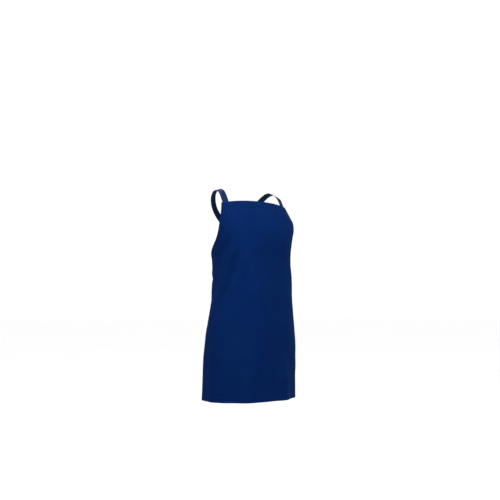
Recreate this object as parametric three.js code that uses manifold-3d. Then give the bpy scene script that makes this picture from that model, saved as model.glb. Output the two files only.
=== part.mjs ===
import * as THREE from 'three';
import Module from 'manifold-3d';
import { mergeVertices } from 'three/addons/utils/BufferGeometryUtils.js';

// Bib welding apron with crossed shoulder straps, as worn. Millimetres, +Z up.
// The wearer faces -Y and their left is +X. The origin is midway between the two
// places where the straps rest on top of the shoulders.

const wasm = await Module();
wasm.setup();

// ---- driving dimensions -------------------------------------------------
const HALF_WIDTH = 355; // flat half width of the skirt
const BIB_HALF = 150; // flat half width of the bib's top edge
const BIB_TOP = -44; // height of the top edge at its middle
const BIB_CROWN = 12; // how much lower the bib corners sit than the middle
const WAIST = -264; // height of the waist corners
const HEM = -786;

const CLOTH = 1.2;
const TAPE = 0.8; // facing, binding and patches
const WEB = 1.2; // webbing thickness
const WEB_WIDTH = 25;
const GAP = 0.3;
const CLOTH_GAP = 1; // between layers sewn to the panel

const BINDING_LEG = 8;
const FACING_DEPTH = 36;
const STRAP_AT = 135; // flat distance of each strap from the middle of the bib
const STRAP_SEWN = 58; // how far each strap runs down behind the bib
const SHOULDER_X = 124;
const CROSS = new THREE.Vector3(0, 88, -150); // where the straps cross at the back
const CROSS_REACH = 26; // flat stretch on each side of the crossing
const PATCH_SIZE = 46;

const RING_AT = [371, -250]; // flat place and height of each ring's middle
const RING_LIFT = 6.4; // ring's middle above the cloth
const RING_SLOT = 27;
const RING_BAR = 2.4;
const RING_PITCH = 12; // between the centres of its two long bars
const BAR_TURN = 2.6; // radius of the webbing's middle where it turns round a bar
const SLIDER_AT = 48; // along the strap from the ring's middle

const WAIST_STRAP_Z = -318;
const BUCKLE_Y = 78;
const TAIL_LENGTH = 78;

// Cross-sections of the draped body at a few heights: half width, middle, depth in
// front and behind, and how square the front is.
const SECTIONS = [
  { z: 0, a: 180, yc: -2, front: 56, back: 78, square: 2.2 },
  { z: -44, a: 180, yc: -10, front: 74, back: 96, square: 2.2 },
  { z: -105, a: 172, yc: -30, front: 103, back: 114, square: 2.4 },
  { z: -161, a: 166, yc: -38, front: 121, back: 120, square: 2.6 },
  { z: -281, a: 157, yc: -39, front: 121, back: 113, square: 2.6 },
  { z: -389, a: 158, yc: -42, front: 126, back: 114, square: 2.5 },
  { z: -566, a: 182, yc: -34, front: 138, back: 124, square: 2.3 },
  { z: -792, a: 192, yc: -30, front: 144, back: 130, square: 2.2 },
];

const navy = () => new THREE.MeshStandardMaterial({ color: 0x0b2a63, roughness: 0.9 });
const webbing = () => new THREE.MeshStandardMaterial({ color: 0x10305f, roughness: 0.85 });
const plastic = () => new THREE.MeshStandardMaterial({ color: 0x17181b, roughness: 0.5 });
const steel = () => new THREE.MeshStandardMaterial({ color: 0x9a9da1, roughness: 0.3, metalness: 1 });

// ---- the draped surface -------------------------------------------------

// Smooth interpolation of one field of SECTIONS at a height.
function field(name, z) {
  const last = SECTIONS.length - 1;
  const height = THREE.MathUtils.clamp(z, SECTIONS[last].z, SECTIONS[0].z);
  let i = 0;
  while (i < last - 1 && SECTIONS[i + 1].z > height) i += 1;
  const slope = (k) => {
    const lo = SECTIONS[Math.max(k - 1, 0)];
    const hi = SECTIONS[Math.min(k + 1, last)];
    return (hi[name] - lo[name]) / (hi.z - lo.z);
  };
  const [p, q] = [SECTIONS[i], SECTIONS[i + 1]];
  const span = q.z - p.z;
  const t = (height - p.z) / span;
  const t2 = t * t;
  const t3 = t2 * t;
  return (2 * t3 - 3 * t2 + 1) * p[name] + (t3 - 2 * t2 + t) * span * slope(i)
    + (3 * t2 - 2 * t3) * q[name] + (t3 - t2) * span * slope(i + 1);
}

const SECTION_STEPS = 360;
const sectionCache = new Map();

// Half of the section at a height, from the middle of the front to the middle of the back.
function halfSection(z) {
  const key = z.toFixed(3);
  if (sectionCache.has(key)) return sectionCache.get(key);
  const a = field('a', z);
  const yc = field('yc', z);
  const front = field('front', z);
  const back = field('back', z);
  const square = field('square', z);
  const points = [];
  for (let k = 0; k <= SECTION_STEPS; k += 1) {
    const angle = Math.PI * k / SECTION_STEPS;
    const power = angle < Math.PI / 2 ? 2 / square : 1;
    const across = Math.pow(Math.max(Math.sin(angle), 0), power);
    const along = Math.pow(Math.abs(Math.cos(angle)), power);
    const y = angle < Math.PI / 2 ? yc - front * along : yc + back * along;
    points.push([a * across, y]);
  }
  const lengths = [0];
  for (let k = 1; k < points.length; k += 1) {
    const step = Math.hypot(points[k][0] - points[k - 1][0], points[k][1] - points[k - 1][1]);
    lengths.push(lengths[k - 1] + step);
  }
  const section = { points, lengths, half: lengths[SECTION_STEPS] };
  sectionCache.set(key, section);
  return section;
}

// Point of the draped surface at flat distance s from the middle, at a height.
function surface(s, z) {
  const { points, lengths, half } = halfSection(z);
  const along = Math.min(Math.abs(s), half);
  let lo = 0;
  let hi = lengths.length - 1;
  while (hi - lo > 1) {
    const mid = (lo + hi) >> 1;
    if (lengths[mid] > along) hi = mid;
    else lo = mid;
  }
  const t = (along - lengths[lo]) / (lengths[hi] - lengths[lo]);
  const x = THREE.MathUtils.lerp(points[lo][0], points[hi][0], t);
  const y = THREE.MathUtils.lerp(points[lo][1], points[hi][1], t);
  return new THREE.Vector3(Math.sign(s) * x, y, z);
}

function surfaceNormal(s, z) {
  const step = 3;
  const alongS = surface(s + step, z).sub(surface(s - step, z));
  const alongZ = surface(s, z + step).sub(surface(s, z - step));
  return alongS.cross(alongZ).normalize();
}

// A station is a point and the outward normal there, lifted off the cloth.
function station(s, z, lift) {
  const normal = surfaceNormal(s, z);
  return { point: surface(s, z).addScaledVector(normal, lift), normal };
}

const crown = (s) => BIB_TOP - BIB_CROWN * (s / BIB_HALF) ** 2;

// Guides of the armhole's curve, from the bib corner to the waist corner: nearly straight
// down the chest, then swept round under the arm.
const ARMHOLE = [[BIB_HALF, crown(BIB_HALF)], [200, -154], [235, -255], [HALF_WIDTH, WAIST]];

// Flat place and height of the armhole's edge, t from 0 at the bib to 1 at the waist.
function armholeAt(t) {
  const u = 1 - t;
  const weights = [u ** 3, 3 * u * u * t, 3 * u * t * t, t ** 3];
  return [0, 1].map((k) => weights.reduce((sum, weight, i) => sum + weight * ARMHOLE[i][k], 0));
}

// Upper edge of the panel: the bib's top edge, then the armhole down to the waist corner.
function upperEdge(s) {
  const out = Math.abs(s);
  if (out <= BIB_HALF) return crown(s);
  let [low, high] = [0, 1];
  for (let halvings = 0; halvings < 40; halvings += 1) {
    const middle = (low + high) / 2;
    if (armholeAt(middle)[0] < out) low = middle;
    else high = middle;
  }
  return armholeAt(high)[1];
}

// ---- solids -------------------------------------------------------------

function geometry(vertices, triangles) {
  const flat = vertices.flatMap((v) => [v.x, v.y, v.z]);
  let volume = 0;
  for (const [i, j, k] of triangles) {
    volume += vertices[i].dot(new THREE.Vector3().crossVectors(vertices[j], vertices[k]));
  }
  const outward = volume > 0 ? triangles : triangles.map(([i, j, k]) => [i, k, j]);
  const shape = new THREE.BufferGeometry();
  shape.setAttribute('position', new THREE.Float32BufferAttribute(flat, 3));
  shape.setIndex(outward.flat());
  return shape;
}

// Closed sheet of even thickness about a grid of stations, rows of equal length.
function sheet(rows, thickness) {
  const [m, n] = [rows.length, rows[0].length];
  const vertices = [];
  for (const side of [0.5, -0.5]) {
    for (const row of rows) {
      for (const { point, normal } of row) {
        vertices.push(point.clone().addScaledVector(normal, side * thickness));
      }
    }
  }
  const top = (i, j) => i * n + j;
  const under = (i, j) => m * n + i * n + j;
  const triangles = [];
  const quad = (a, b, c, d) => triangles.push([a, b, c], [a, c, d]);
  for (let i = 0; i < m - 1; i += 1) {
    for (let j = 0; j < n - 1; j += 1) {
      quad(top(i, j), top(i, j + 1), top(i + 1, j + 1), top(i + 1, j));
      quad(under(i, j), under(i + 1, j), under(i + 1, j + 1), under(i, j + 1));
    }
    quad(top(i, 0), top(i + 1, 0), under(i + 1, 0), under(i, 0));
    quad(top(i + 1, n - 1), top(i, n - 1), under(i, n - 1), under(i + 1, n - 1));
  }
  for (let j = 0; j < n - 1; j += 1) {
    quad(top(0, j + 1), top(0, j), under(0, j), under(0, j + 1));
    quad(top(m - 1, j), top(m - 1, j + 1), under(m - 1, j + 1), under(m - 1, j));
  }
  return geometry(vertices, triangles);
}

// Directions along and across a path of stations.
function frames(stations) {
  return stations.map(({ point, normal }, k) => {
    const before = stations[Math.max(k - 1, 0)].point;
    const after = stations[Math.min(k + 1, stations.length - 1)].point;
    const along = after.clone().sub(before).normalize();
    const out = normal.clone().addScaledVector(along, -normal.dot(along)).normalize();
    return { point, along, out, across: new THREE.Vector3().crossVectors(along, out) };
  });
}

function ribbon(stations, width = WEB_WIDTH, thickness = WEB) {
  const rows = frames(stations).map(({ point, out, across }) => [-0.5, 0.5].map((side) => ({
    point: point.clone().addScaledVector(across, side * width),
    normal: out,
  })));
  return sheet(rows, thickness);
}

// Solid of a fixed outline swept along stations; outline points are [across, out].
function sweep(stations, drawn) {
  const flat = drawn.map(([u, v]) => new THREE.Vector2(u, v));
  const clockwise = THREE.ShapeUtils.isClockWise(flat);
  const outline = clockwise ? [...drawn].reverse() : drawn;
  if (clockwise) flat.reverse();
  const count = outline.length;
  const vertices = frames(stations).flatMap(({ point, across, out }) => outline.map(([u, v]) => (
    point.clone().addScaledVector(across, u).addScaledVector(out, v))));
  const cap = THREE.ShapeUtils.triangulateShape(flat, []);
  const start = (stations.length - 1) * count;
  const triangles = [
    ...cap.map(([i, j, k]) => [i, k, j]),
    ...cap.map((face) => face.map((i) => i + start)),
  ];
  for (let k = 0; k < stations.length - 1; k += 1) {
    for (let i = 0; i < count; i += 1) {
      const next = (i + 1) % count;
      const [a, b] = [k * count + i, k * count + next];
      triangles.push([a, b, b + count], [a, b + count, a + count]);
    }
  }
  return geometry(vertices, triangles);
}

// Evenly spaced stations on a smooth curve through a few.
function smooth(knots, count) {
  const curve = new THREE.CatmullRomCurve3(knots.map((k) => k.point), false, 'centripetal');
  const stations = [];
  for (let k = 0; k <= count; k += 1) {
    const t = curve.getUtoTmapping(k / count) * (knots.length - 1);
    const i = Math.min(Math.floor(t), knots.length - 2);
    const normal = knots[i].normal.clone().lerp(knots[i + 1].normal, t - i).normalize();
    stations.push({ point: curve.getPoint(t / (knots.length - 1)), normal });
  }
  return stations;
}

// Half turn round a bar: from the outer side, about its end, to the inner side.
function turn(centre, ahead, out, radius) {
  const stations = [];
  const steps = 8;
  for (let k = 0; k <= steps; k += 1) {
    const angle = Math.PI * k / steps;
    const normal = out.clone().multiplyScalar(Math.cos(angle)).addScaledVector(ahead, Math.sin(angle));
    stations.push({ point: centre.clone().addScaledVector(normal, radius), normal });
  }
  return stations;
}

function toManifold(shape) {
  const bare = shape.clone();
  bare.deleteAttribute('normal');
  bare.deleteAttribute('uv');
  const merged = mergeVertices(bare, 1e-4);
  return new wasm.Manifold(new wasm.Mesh({
    numProp: 3,
    vertProperties: new Float32Array(merged.attributes.position.array),
    triVerts: new Uint32Array(merged.index.array),
  }));
}

function fromManifold(solid) {
  const { vertProperties, triVerts } = solid.getMesh();
  const shape = new THREE.BufferGeometry();
  shape.setAttribute('position', new THREE.BufferAttribute(new Float32Array(vertProperties), 3));
  shape.setIndex(new THREE.BufferAttribute(new Uint32Array(triVerts), 1));
  return shape;
}

// Box between two corners.
function box([x0, y0, z0], [x1, y1, z1]) {
  const shape = new THREE.BoxGeometry(x1 - x0, y1 - y0, z1 - z0);
  return toManifold(shape.translate((x0 + x1) / 2, (y0 + y1) / 2, (z0 + z1) / 2));
}

const union = (solids) => solids.reduce((all, solid) => all.add(solid));

// ---- cloth pieces -------------------------------------------------------

const ARMHOLE_STEPS = 17;

function panel() {
  const places = [];
  const middleSteps = 14;
  for (let k = ARMHOLE_STEPS; k >= 1; k -= 1) places.push(-armholeAt(k / ARMHOLE_STEPS)[0]);
  for (let k = 0; k <= middleSteps; k += 1) places.push(BIB_HALF * (2 * k / middleSteps - 1));
  for (let k = 1; k <= ARMHOLE_STEPS; k += 1) places.push(armholeAt(k / ARMHOLE_STEPS)[0]);
  const downSteps = 28;
  const rows = [];
  for (let k = 0; k <= downSteps; k += 1) {
    const share = (k / downSteps) ** 1.3;
    rows.push(places.map((s) => station(s, THREE.MathUtils.lerp(upperEdge(s), HEM, share), 0)));
  }
  return sheet(rows, CLOTH);
}

// Rectangular piece of tape lying on the inside or outside of the panel.
function patch(s0, s1, top, depth, lift, across = 4, down = 4) {
  const rows = [];
  for (let i = 0; i <= down; i += 1) {
    const row = [];
    for (let j = 0; j <= across; j += 1) {
      const s = THREE.MathUtils.lerp(s0, s1, j / across);
      row.push(station(s, top(s) - depth * i / down, lift));
    }
    rows.push(row);
  }
  return sheet(rows, TAPE);
}

const FACING_LIFT = -(CLOTH / 2 + CLOTH_GAP + TAPE / 2);
const FACING_END = BIB_HALF - BINDING_LEG - 3;
const STRAP_LIFT = FACING_LIFT - TAPE / 2 - CLOTH_GAP - WEB / 2;
const BIB_PATCH_LIFT = STRAP_LIFT - WEB / 2 - CLOTH_GAP - TAPE / 2;

function bibFacing() {
  return patch(-FACING_END, FACING_END, (s) => crown(s) - 1, FACING_DEPTH, FACING_LIFT, 16, 3);
}

// Square sewn behind a strap's end on the bib.
function bibPatch(side) {
  return patch(side * (STRAP_AT - 15), side * (STRAP_AT + 13), () => -74, 44, BIB_PATCH_LIFT);
}

const WAIST_PATCH_LIFT = FACING_LIFT;

function waistPatch(side) {
  return patch(side * 288, side * 343, () => -290, 56, WAIST_PATCH_LIFT);
}

// Tape folded over the armhole's raw edge.
function armholeBinding(side) {
  const stations = [];
  for (let k = 0; k <= ARMHOLE_STEPS; k += 1) {
    const [s, z] = armholeAt(k / ARMHOLE_STEPS);
    stations.push(station(side * s, z, 0));
  }
  const inside = CLOTH / 2 + CLOTH_GAP;
  const outside = inside + TAPE;
  const lip = GAP + TAPE;
  const outline = [
    [-BINDING_LEG, inside], [GAP, inside], [GAP, -inside], [-BINDING_LEG, -inside],
    [-BINDING_LEG, -outside], [lip, -outside], [lip, outside], [-BINDING_LEG, outside],
  ];
  return sweep(stations, outline.map(([u, v]) => [-side * u, v]));
}

// ---- shoulder straps, rings and sliders ---------------------------------

// Frame of one waist corner's ring: its middle, the strap's way up to the crossing,
// outward, and across.
function ringFrame(side) {
  const at = station(side * RING_AT[0], RING_AT[1], RING_LIFT);
  const target = crossing(-side, CROSS_REACH);
  const ahead = target.point.clone().sub(at.point);
  const run = ahead.clone().normalize();
  const out = at.normal.clone().addScaledVector(run, -at.normal.dot(run)).normalize();
  return { centre: at.point, run, out, across: new THREE.Vector3().crossVectors(run, out) };
}

// Station near the crossing, on the strap that starts on the given side's shoulder.
function crossing(side, along) {
  const layer = side > 0 ? WEB + 2 * GAP : 0;
  const way = new THREE.Vector3(-side, 0, -1).normalize();
  const point = CROSS.clone().addScaledVector(way, along);
  return { point: point.add(new THREE.Vector3(0, layer, 0)), normal: new THREE.Vector3(0, 1, 0) };
}

// Point and outward normal in a frame.
function inFrame(frame, along, out) {
  const point = frame.centre.clone().addScaledVector(frame.run, along).addScaledVector(frame.out, out);
  return { point, normal: frame.out.clone() };
}

const facingIn = ({ point, normal }) => ({ point, normal: normal.clone().negate() });

function shoulderStrap(side) {
  const topZ = crown(STRAP_AT);
  const sewn = [STRAP_SEWN, STRAP_SEWN / 2, 4].map((down) => (
    station(side * STRAP_AT, topZ - down, STRAP_LIFT)));
  const over = [
    [[130, -46, -22], [0.25, -0.62, 0.74]],
    [[SHOULDER_X, -18, -4], [0.3, -0.22, 0.93]],
    [[SHOULDER_X, 0, WEB / 2], [0.3, 0, 0.95]],
    [[121, 22, -4], [0.32, 0.35, 0.88]],
    [[112, 50, -24], [0.33, 0.72, 0.6]],
    [[90, 74, -61], [0.28, 0.9, 0.32]],
    [[55, 85, -102], [0.12, 0.98, 0.12]],
  ].map(([p, n]) => ({
    point: new THREE.Vector3(side * p[0], p[1], p[2]),
    normal: new THREE.Vector3(side * n[0], n[1], n[2]).normalize(),
  }));
  const cross = [-CROSS_REACH, 0, CROSS_REACH].map((along) => crossing(side, along));
  const frame = ringFrame(-side);
  const bar = RING_PITCH / 2;
  const down = frame.run.clone().negate();
  const barAt = inFrame(frame, bar, 0).point;
  const runStart = cross[2].point.distanceTo(frame.centre);
  const run = [];
  for (const share of [0.86, 0.6, 0.35, 0.1]) {
    run.push(inFrame(frame, THREE.MathUtils.lerp(bar, runStart, share), BAR_TURN));
  }
  const round = turn(barAt, down, frame.out, BAR_TURN);
  const back = [6, 12].map((along) => facingIn(inFrame(frame, bar + along, -BAR_TURN)));
  return ribbon([...smooth([...sewn, ...over, ...cross, run[0]], 52), ...run.slice(1), ...round, ...back]);
}

function ring(side) {
  const wide = RING_SLOT / 2 + RING_BAR;
  const tall = RING_PITCH / 2 + RING_BAR / 2;
  const corner = 3;
  const outline = new THREE.Shape();
  outline.moveTo(-wide + corner, -tall);
  outline.lineTo(wide - corner, -tall);
  outline.absarc(wide - corner, -tall + corner, corner, -Math.PI / 2, 0);
  outline.absarc(wide - corner, tall - corner, corner, 0, Math.PI / 2);
  outline.absarc(-wide + corner, tall - corner, corner, Math.PI / 2, Math.PI);
  outline.absarc(-wide + corner, -tall + corner, corner, Math.PI, 1.5 * Math.PI);
  const slot = new THREE.Path();
  const inner = RING_PITCH / 2 - RING_BAR / 2;
  slot.moveTo(-RING_SLOT / 2, -inner);
  slot.lineTo(-RING_SLOT / 2, inner);
  slot.lineTo(RING_SLOT / 2, inner);
  slot.lineTo(RING_SLOT / 2, -inner);
  outline.holes.push(slot);
  const options = { depth: RING_BAR, bevelEnabled: false, curveSegments: 5 };
  const shape = new THREE.ExtrudeGeometry(outline, options);
  shape.translate(0, 0, -RING_BAR / 2);
  return { shape, frame: ringFrame(side) };
}

// Webbing tab sewn to the waist corner and folded round the ring's lower bar.
function ringTab(side) {
  const frame = ringFrame(side);
  const barAt = inFrame(frame, -RING_PITCH / 2, 0).point;
  const alongS = surface(side * RING_AT[0] + 1, RING_AT[1]).sub(surface(side * RING_AT[0] - 1, RING_AT[1]));
  const slant = Math.atan2(frame.run.z, frame.run.dot(alongS.normalize()));
  const onCloth = (along, lift) => station(
    side * RING_AT[0] - along * Math.cos(slant),
    RING_AT[1] - along * Math.sin(slant),
    lift,
  );
  const inner = [44, 36, 28, 20].map((along) => facingIn(onCloth(along, 3.2)));
  const outer = [20, 28, 36, 44].map((along) => onCloth(along, 5.2));
  const round = turn(barAt, frame.run, frame.out.clone(), BAR_TURN);
  const lower = facingIn(inFrame(frame, -RING_PITCH / 2 - 4, -BAR_TURN));
  const upper = inFrame(frame, -RING_PITCH / 2 - 4, BAR_TURN);
  return ribbon([...inner, lower, ...round.reverse(), upper, ...outer]);
}

const SLIDER_HALF = 14;

// Three-bar slide: end bars over the strap, middle bar behind it, side rails.
function sliderShape() {
  const rail = RING_SLOT / 2;
  const wide = rail + 3;
  const front = [WEB / 2 + GAP, WEB / 2 + GAP + 1.8];
  const middle = [-WEB * 1.5 - 2 * GAP - 1.6, -WEB * 1.5 - 2 * GAP];
  const sides = [-1, 1].map((end) => box(
    [end > 0 ? rail : -wide, -SLIDER_HALF, middle[0]],
    [end > 0 ? wide : -rail, SLIDER_HALF, front[1]],
  ));
  const ends = [-1, 1].map((end) => box(
    [-wide, end > 0 ? SLIDER_HALF - 3.5 : -SLIDER_HALF, front[0]],
    [wide, end > 0 ? SLIDER_HALF : -SLIDER_HALF + 3.5, front[1]],
  ));
  const bar = box([-wide, -2.5, middle[0]], [wide, 2.5, middle[1]]);
  return fromManifold(union([...sides, ...ends, bar]));
}

function sliderFrame(side) {
  const frame = ringFrame(side);
  return { ...frame, centre: inFrame(frame, SLIDER_AT, BAR_TURN).point };
}

// The strap's end, turned round the slider's middle bar and sewn back on itself.
function strapEnd(side) {
  const frame = sliderFrame(side);
  const barLow = -WEB * 1.5 - 2 * GAP - 1.6;
  const outer = -WEB - GAP;
  const inner = barLow - GAP - WEB / 2;
  const bend = inFrame(frame, 3.4, (outer + inner) / 2);
  const round = turn(bend.point, frame.run, frame.out, (outer - inner) / 2);
  const top = [-12, -6].map((along) => inFrame(frame, along, outer));
  const under = [-6, -12].map((along) => facingIn(inFrame(frame, along, inner)));
  return ribbon([...top, ...round, ...under]);
}

function crossPatch() {
  const lift = 2 * WEB + 3 * GAP + TAPE / 2 - WEB / 2 + GAP;
  const shape = new THREE.BoxGeometry(PATCH_SIZE, TAPE, PATCH_SIZE, 2, 1, 2);
  return shape.rotateY(Math.PI / 4).translate(CROSS.x, CROSS.y + lift, CROSS.z);
}

// ---- waist straps and buckle --------------------------------------------

const SOCKET_BAR_X = -32;
const SOCKET_TURN = 3.4;
const PLUG_BAR_X = 21.75;
const PLUG_TURN = 3.15;
const PLUG_BAR_Y = 0.2;
const WAIST_LIFT = WAIST_PATCH_LIFT - TAPE / 2 - CLOTH_GAP - WEB / 2;

const buckleStation = (x, y, facing = 1) => ({
  point: new THREE.Vector3(x, BUCKLE_Y + y, WAIST_STRAP_Z),
  normal: new THREE.Vector3(0, facing, 0),
});

// Stretch sewn behind the panel's side edge, and on round to near the buckle.
function waistStretch(side, along) {
  const sewn = [300, 318, 336, 352].map((s) => station(side * s, WAIST_STRAP_Z, WAIST_LIFT));
  const free = [[366, -1.2], [382, 0.6]].map(([s, lift]) => station(side * s, WAIST_STRAP_Z, lift));
  return smooth([...sewn, ...free, ...along], 26);
}

// Right strap: ends in a loop round the socket's bar, turned back and sewn.
function waistStrapRight() {
  const near = [-52, -44, -36].map((x) => buckleStation(x, -SOCKET_TURN, 1));
  const main = waistStretch(-1, near).map(facingIn);
  const bar = buckleStation(SOCKET_BAR_X, 0).point;
  const round = turn(bar, new THREE.Vector3(1, 0, 0), new THREE.Vector3(0, 1, 0), SOCKET_TURN).reverse();
  const back = [[-36, SOCKET_TURN], [-42, 2.2], [-50, -1]].map(([x, y]) => buckleStation(x, y));
  return ribbon([...main, ...round, ...back]);
}

const UNDER_PLUG = -PLUG_TURN + PLUG_BAR_Y - WEB - GAP;

// Left strap: runs straight behind the plug, which slides along it.
function waistStrapLeft() {
  const near = [58, 48, 34, 17].map((x) => buckleStation(x, UNDER_PLUG));
  return ribbon(waistStretch(1, near));
}

// The stretch that turns round the plug's bar.
function waistLoop() {
  const bar = buckleStation(PLUG_BAR_X, PLUG_BAR_Y).point;
  const back = new THREE.Vector3(-1, 0, 0);
  const round = turn(bar, back, new THREE.Vector3(0, 1, 0), PLUG_TURN);
  const upper = buckleStation(PLUG_BAR_X + 3.2, PLUG_BAR_Y + PLUG_TURN);
  const lower = [4, 9].map((x) => buckleStation(PLUG_BAR_X + x, PLUG_BAR_Y - PLUG_TURN, -1));
  return ribbon([upper, ...round, ...lower]);
}

const TAIL_START = PLUG_BAR_X + 4.1;

function waistTail() {
  const stations = [0, 0.25, 0.5, 0.75, 1].map((share) => (
    buckleStation(TAIL_START + TAIL_LENGTH * share, PLUG_BAR_Y + PLUG_TURN - 4 * share * share)));
  return ribbon(stations);
}

// Socket: two plates open at the sides and mouth, a closed rear and a bar for webbing.
function socketShape() {
  const shell = box([-22, -4.5, -17], [3, 4.5, 17]);
  const cavity = box([-19, -2.7, -13.6], [4, 2.7, 13.6]);
  const sideCut = box([-12, -2.7, -18], [4, 2.7, 18]);
  const frame = box([-34, -1.5, -16.5], [-21, 1.5, 16.5]);
  const slot = box([-30, -2, -13.5], [-24.5, 2, 13.5]);
  return fromManifold(shell.subtract(cavity).subtract(sideCut).add(frame).subtract(slot));
}

// Plug: guide tongue, base, and a ladder frame with two bars.
function plugShape() {
  const tongue = box([-16, -1.8, -2.2], [5, 1.8, 2.2]);
  const base = box([3.6, -3.3, -16.5], [13, 4, 16.5]);
  const rails = [-1, 1].map((end) => box(
    [12, -1.2, end > 0 ? 13.5 : -16.5],
    [31, 1.6, end > 0 ? 16.5 : -13.5],
  ));
  const bars = [PLUG_BAR_X, 29.25].map((x) => box([x - 1.75, -1.2, -14], [x + 1.75, 1.6, 14]));
  return fromManifold(union([tongue, base, ...rails, ...bars]));
}

// One latch arm: a sprung leg with a finger pad on its outer side.
function latchShape(side) {
  const outline = new THREE.Shape();
  outline.moveTo(3.2, side * 8.6);
  outline.lineTo(-15.5, side * 9.6);
  outline.lineTo(-17.5, side * 11.6);
  outline.lineTo(-12, side * 13.2);
  outline.quadraticCurveTo(-10.5, side * 17, -6, side * 17);
  outline.quadraticCurveTo(-1.5, side * 17, 0, side * 12);
  outline.lineTo(3.2, side * 12);
  outline.closePath();
  const depth = 4.4;
  const shape = new THREE.ExtrudeGeometry(outline, { depth, bevelEnabled: false, curveSegments: 5 });
  return shape.rotateX(Math.PI / 2).translate(0, depth / 2, 0);
}

// ---- assembly -----------------------------------------------------------

const apron = new THREE.Group();

function add(name, shape, material) {
  const mesh = new THREE.Mesh(shape, material);
  mesh.name = name;
  apron.add(mesh);
  return mesh;
}

// Place a mesh drawn across, along and out in a frame.
function place(mesh, { centre, run, out, across }) {
  mesh.position.copy(centre);
  mesh.quaternion.setFromRotationMatrix(new THREE.Matrix4().makeBasis(across, run, out));
}

const SIDES = [['right', -1], ['left', 1]];

add('apron_panel', panel(), navy());
add('bib_facing', bibFacing(), navy());
add('cross_patch', crossPatch(), navy());

for (const [name, side] of SIDES) {
  add(`armhole_binding_${name}`, armholeBinding(side), navy());
  add(`bib_patch_${name}`, bibPatch(side), navy());
  add(`waist_patch_${name}`, waistPatch(side), navy());
  add(`shoulder_strap_${name}`, shoulderStrap(side), webbing());
  add(`ring_tab_${name}`, ringTab(side), webbing());
  const { shape, frame } = ring(side);
  place(add(`ring_${name}`, shape, steel()), frame);
  place(add(`slider_${name}`, sliderShape(), plastic()), sliderFrame(side));
  add(`strap_end_${name}`, strapEnd(side), webbing());
}

add('waist_strap_right', waistStrapRight(), webbing());
add('waist_strap_left', waistStrapLeft(), webbing());
add('waist_strap_loop', waistLoop(), webbing());
add('waist_strap_tail', waistTail(), webbing());

const buckle = new THREE.Group();
buckle.position.set(0, BUCKLE_Y, WAIST_STRAP_Z);
apron.add(buckle);
for (const [name, shape] of [
  ['buckle_socket', socketShape()],
  ['buckle_plug', plugShape()],
  ['latch_upper', latchShape(1)],
  ['latch_lower', latchShape(-1)],
]) {
  const mesh = add(name, shape, plastic());
  buckle.add(mesh);
}

export default apron;
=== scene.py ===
import math

import bmesh
import bpy
import numpy as np
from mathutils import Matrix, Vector


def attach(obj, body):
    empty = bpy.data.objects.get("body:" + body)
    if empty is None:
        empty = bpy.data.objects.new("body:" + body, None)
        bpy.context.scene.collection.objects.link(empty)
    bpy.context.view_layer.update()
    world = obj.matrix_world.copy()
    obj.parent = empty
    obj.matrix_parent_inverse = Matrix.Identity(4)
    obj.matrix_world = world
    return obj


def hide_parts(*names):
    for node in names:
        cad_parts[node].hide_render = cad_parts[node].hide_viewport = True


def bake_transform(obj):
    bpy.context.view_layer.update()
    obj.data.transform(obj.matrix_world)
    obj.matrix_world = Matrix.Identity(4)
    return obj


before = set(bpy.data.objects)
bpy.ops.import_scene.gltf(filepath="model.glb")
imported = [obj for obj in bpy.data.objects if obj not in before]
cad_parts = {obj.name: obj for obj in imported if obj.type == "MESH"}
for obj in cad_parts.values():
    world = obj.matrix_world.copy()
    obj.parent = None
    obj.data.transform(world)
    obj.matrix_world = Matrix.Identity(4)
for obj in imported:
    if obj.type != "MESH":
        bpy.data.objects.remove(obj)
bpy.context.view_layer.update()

MM = 0.001

# Bib welding apron as worn. The formulas of the part are repeated here in millimetres:
# s is the flat distance from the middle of the cloth, the wearer's left being positive.

HALF_WIDTH = 355
BIB_HALF = 150
BIB_TOP = -44
BIB_CROWN = 12
WAIST = -264
HEM = -786

WEB = 1.2
WEB_WIDTH = 25
FACING_END = BIB_HALF - 11
FACING_HEIGHT = 36
BIB_PATCH_TOP = -74
BIB_PATCH_HEIGHT = 44
WAIST_PATCH_TOP = -290
WAIST_PATCH_HEIGHT = 56
STRAP_AT = 135
STRAP_SEWN = 58
SHOULDER_X = 124
CROSS = np.array([0.0, 88.0, -150.0])
CROSS_REACH = 26
CROSS_LAYER = 1.8
PATCH_SIZE = 46

RING_AT = (371, -250)
RING_LIFT = 6.4
RING_SLOT = 27
RING_BAR = 2.4
RING_PITCH = 12
BAR_TURN = 2.6
SLIDER_AT = 48
SLIDER_BAR = 1.6
SLIDER_GAP = 0.3

WAIST_STRAP_Z = -318
BUCKLE_Y = 78
TAIL_LENGTH = 78
SOCKET_BAR_X = -32
SOCKET_TURN = 3.4
PLUG_BAR_X = 21.75
PLUG_TURN = 3.15
PLUG_BAR_Y = 0.2
TAIL_START = PLUG_BAR_X + 4.1

CLOTH = 0.9  # thickness of the cloth
TAPE = 0.6
BINDING_THICKNESS = 0.55
FOLD_IN = -1.05  # how far a turned edge lies behind the panel's middle
FACING_LIFT = -1.75
STRAP_LIFT = -3.2
BIB_PATCH_LIFT = -4.3
WAIST_PATCH_LIFT = -2.3
WAIST_STRAP_LIFT = -3.4
RING_TAB_LIFT = 3.6

# height, half width, middle, depth in front, depth behind, squareness of the front
SECTIONS = np.array([
    (0, 180, -2, 56, 78, 2.2),
    (-44, 180, -10, 74, 96, 2.2),
    (-105, 172, -30, 103, 114, 2.4),
    (-161, 166, -38, 121, 120, 2.6),
    (-281, 157, -39, 121, 113, 2.6),
    (-389, 158, -42, 126, 114, 2.5),
    (-566, 182, -34, 138, 124, 2.3),
    (-792, 192, -30, 144, 130, 2.2),
], float)
SECTION_STEPS = 360
SIDES = (("right", -1), ("left", 1))


# ---- the draped surface ----

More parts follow.
